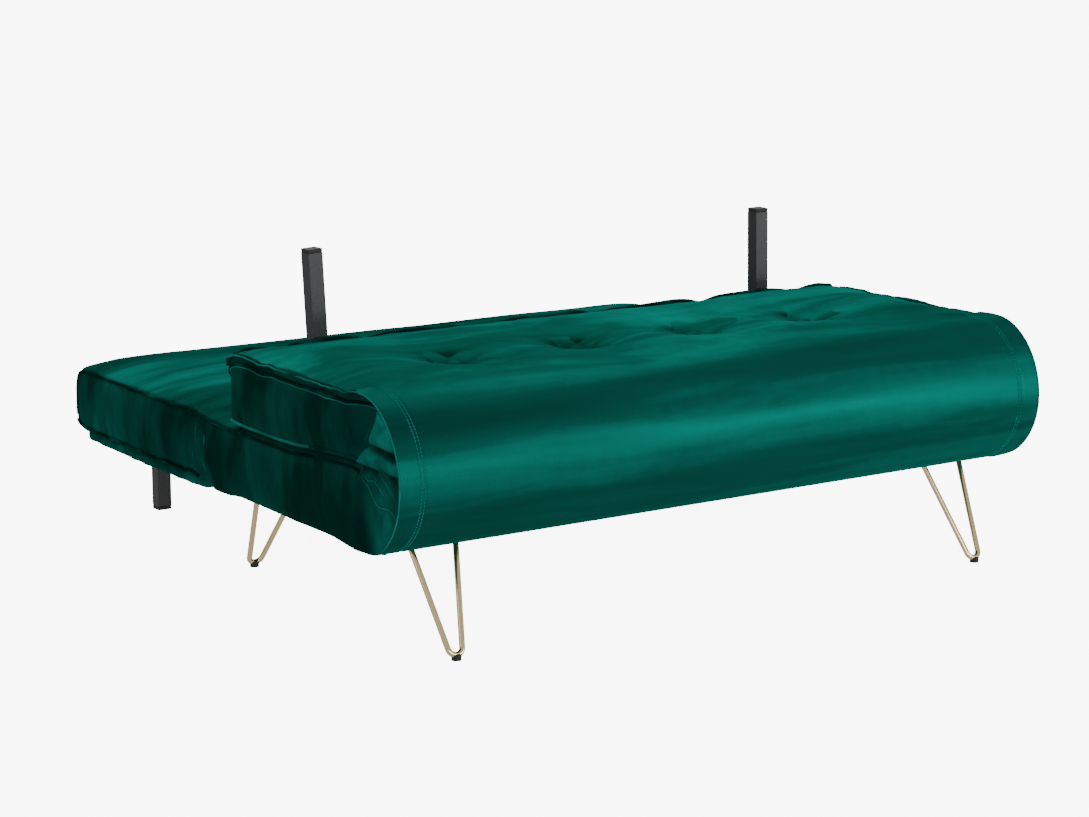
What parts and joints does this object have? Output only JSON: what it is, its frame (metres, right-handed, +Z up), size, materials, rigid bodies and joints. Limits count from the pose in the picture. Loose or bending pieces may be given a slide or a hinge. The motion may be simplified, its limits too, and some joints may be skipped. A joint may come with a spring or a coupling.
{
  "type": "futon sofa bed",
  "caption": "Low velvet sofa bed on hairpin legs: a buttoned section folds out over a rounded front, and a back section lies flat or rises.",
  "frame": {"origin": "on the floor, under the middle of the overall box", "axes": "+X across the width, towards the right as seen from the front; -Y is the front of the sofa; +Z up"},
  "size_m": [1.2, 1.1122, 0.5274],
  "materials": {
    "velvet": "matte",
    "black_steel": "satin",
    "frame_steel": "satin",
    "gold_rod": "polished",
    "rubber": "matte",
    "board": "matte",
    "dust_cloth": "matte"
  },
  "bodies": {
    "base": {"base_cushion": "velvet", "base_rail_front": "frame_steel", "base_rail_back": "frame_steel", "base_rail_left": "frame_steel", "base_rail_right": "frame_steel", "base_deck": "board", "dust_cloth": "dust_cloth", "hairpin_front_left": "gold_rod", "hairpin_front_right": "gold_rod", "hairpin_back_left": "gold_rod", "hairpin_back_right": "gold_rod", "leg_plate_front_left": "black_steel", "leg_plate_front_right": "black_steel", "leg_plate_back_left": "black_steel", "leg_plate_back_right": "black_steel", "foot_cap_front_left": "rubber", "foot_cap_front_right": "rubber", "foot_cap_back_left": "rubber", "foot_cap_back_right": "rubber", "fold_hinge_base_left": "frame_steel", "fold_hinge_base_right": "frame_steel", "recline_plate_base_left": "frame_steel", "recline_plate_base_right": "frame_steel"},
    "fold_out_section": {"flip_bed_pad": "velvet", "flip_seat_pad": "velvet", "flip_rail_front": "frame_steel", "flip_rail_back": "frame_steel", "flip_rail_left": "frame_steel", "flip_rail_right": "frame_steel", "tuft_button_1": "velvet", "tuft_button_2": "velvet", "tuft_button_3": "velvet", "tuft_button_4": "velvet", "fold_hinge_flip_left": "frame_steel", "fold_hinge_flip_right": "frame_steel", "leg_bracket_left": "black_steel", "leg_bracket_right": "black_steel"},
    "left_support_leg": {"support_leg_left": "black_steel", "support_cap_left": "rubber"},
    "right_support_leg": {"support_leg_right": "black_steel", "support_cap_right": "rubber"},
    "back_section": {"back_cushion": "velvet", "back_underside_pad": "velvet", "back_rail_front": "frame_steel", "back_rail_back": "frame_steel", "back_rail_left": "frame_steel", "back_rail_right": "frame_steel", "back_leg_left": "black_steel", "back_leg_right": "black_steel", "back_leg_cap_left": "rubber", "back_leg_cap_right": "rubber", "recline_plate_back_left": "frame_steel", "recline_plate_back_right": "frame_steel"}
  },
  "joints": [
    {"name": "fold_out", "type": "hinge", "parent": "base", "child": "fold_out_section", "pos_m": [0, -0.5519, 0.266], "axis": [1, 0, 0], "range_deg": [0, 180]},
    {"name": "recline", "type": "hinge", "parent": "base", "child": "back_section", "pos_m": [0, 0.0421, 0.235], "axis": [1, 0, 0], "range_deg": [0, 78]},
    {"name": "left_leg_fold", "type": "hinge", "parent": "fold_out_section", "child": "left_support_leg", "pos_m": [-0.422, -0.0079, 0.305], "axis": [0, 1, 0], "range_deg": [0, 93]},
    {"name": "right_leg_fold", "type": "hinge", "parent": "fold_out_section", "child": "right_support_leg", "pos_m": [0.452, -0.0079, 0.305], "axis": [0, -1, 0], "range_deg": [0, 89]}
  ]
}
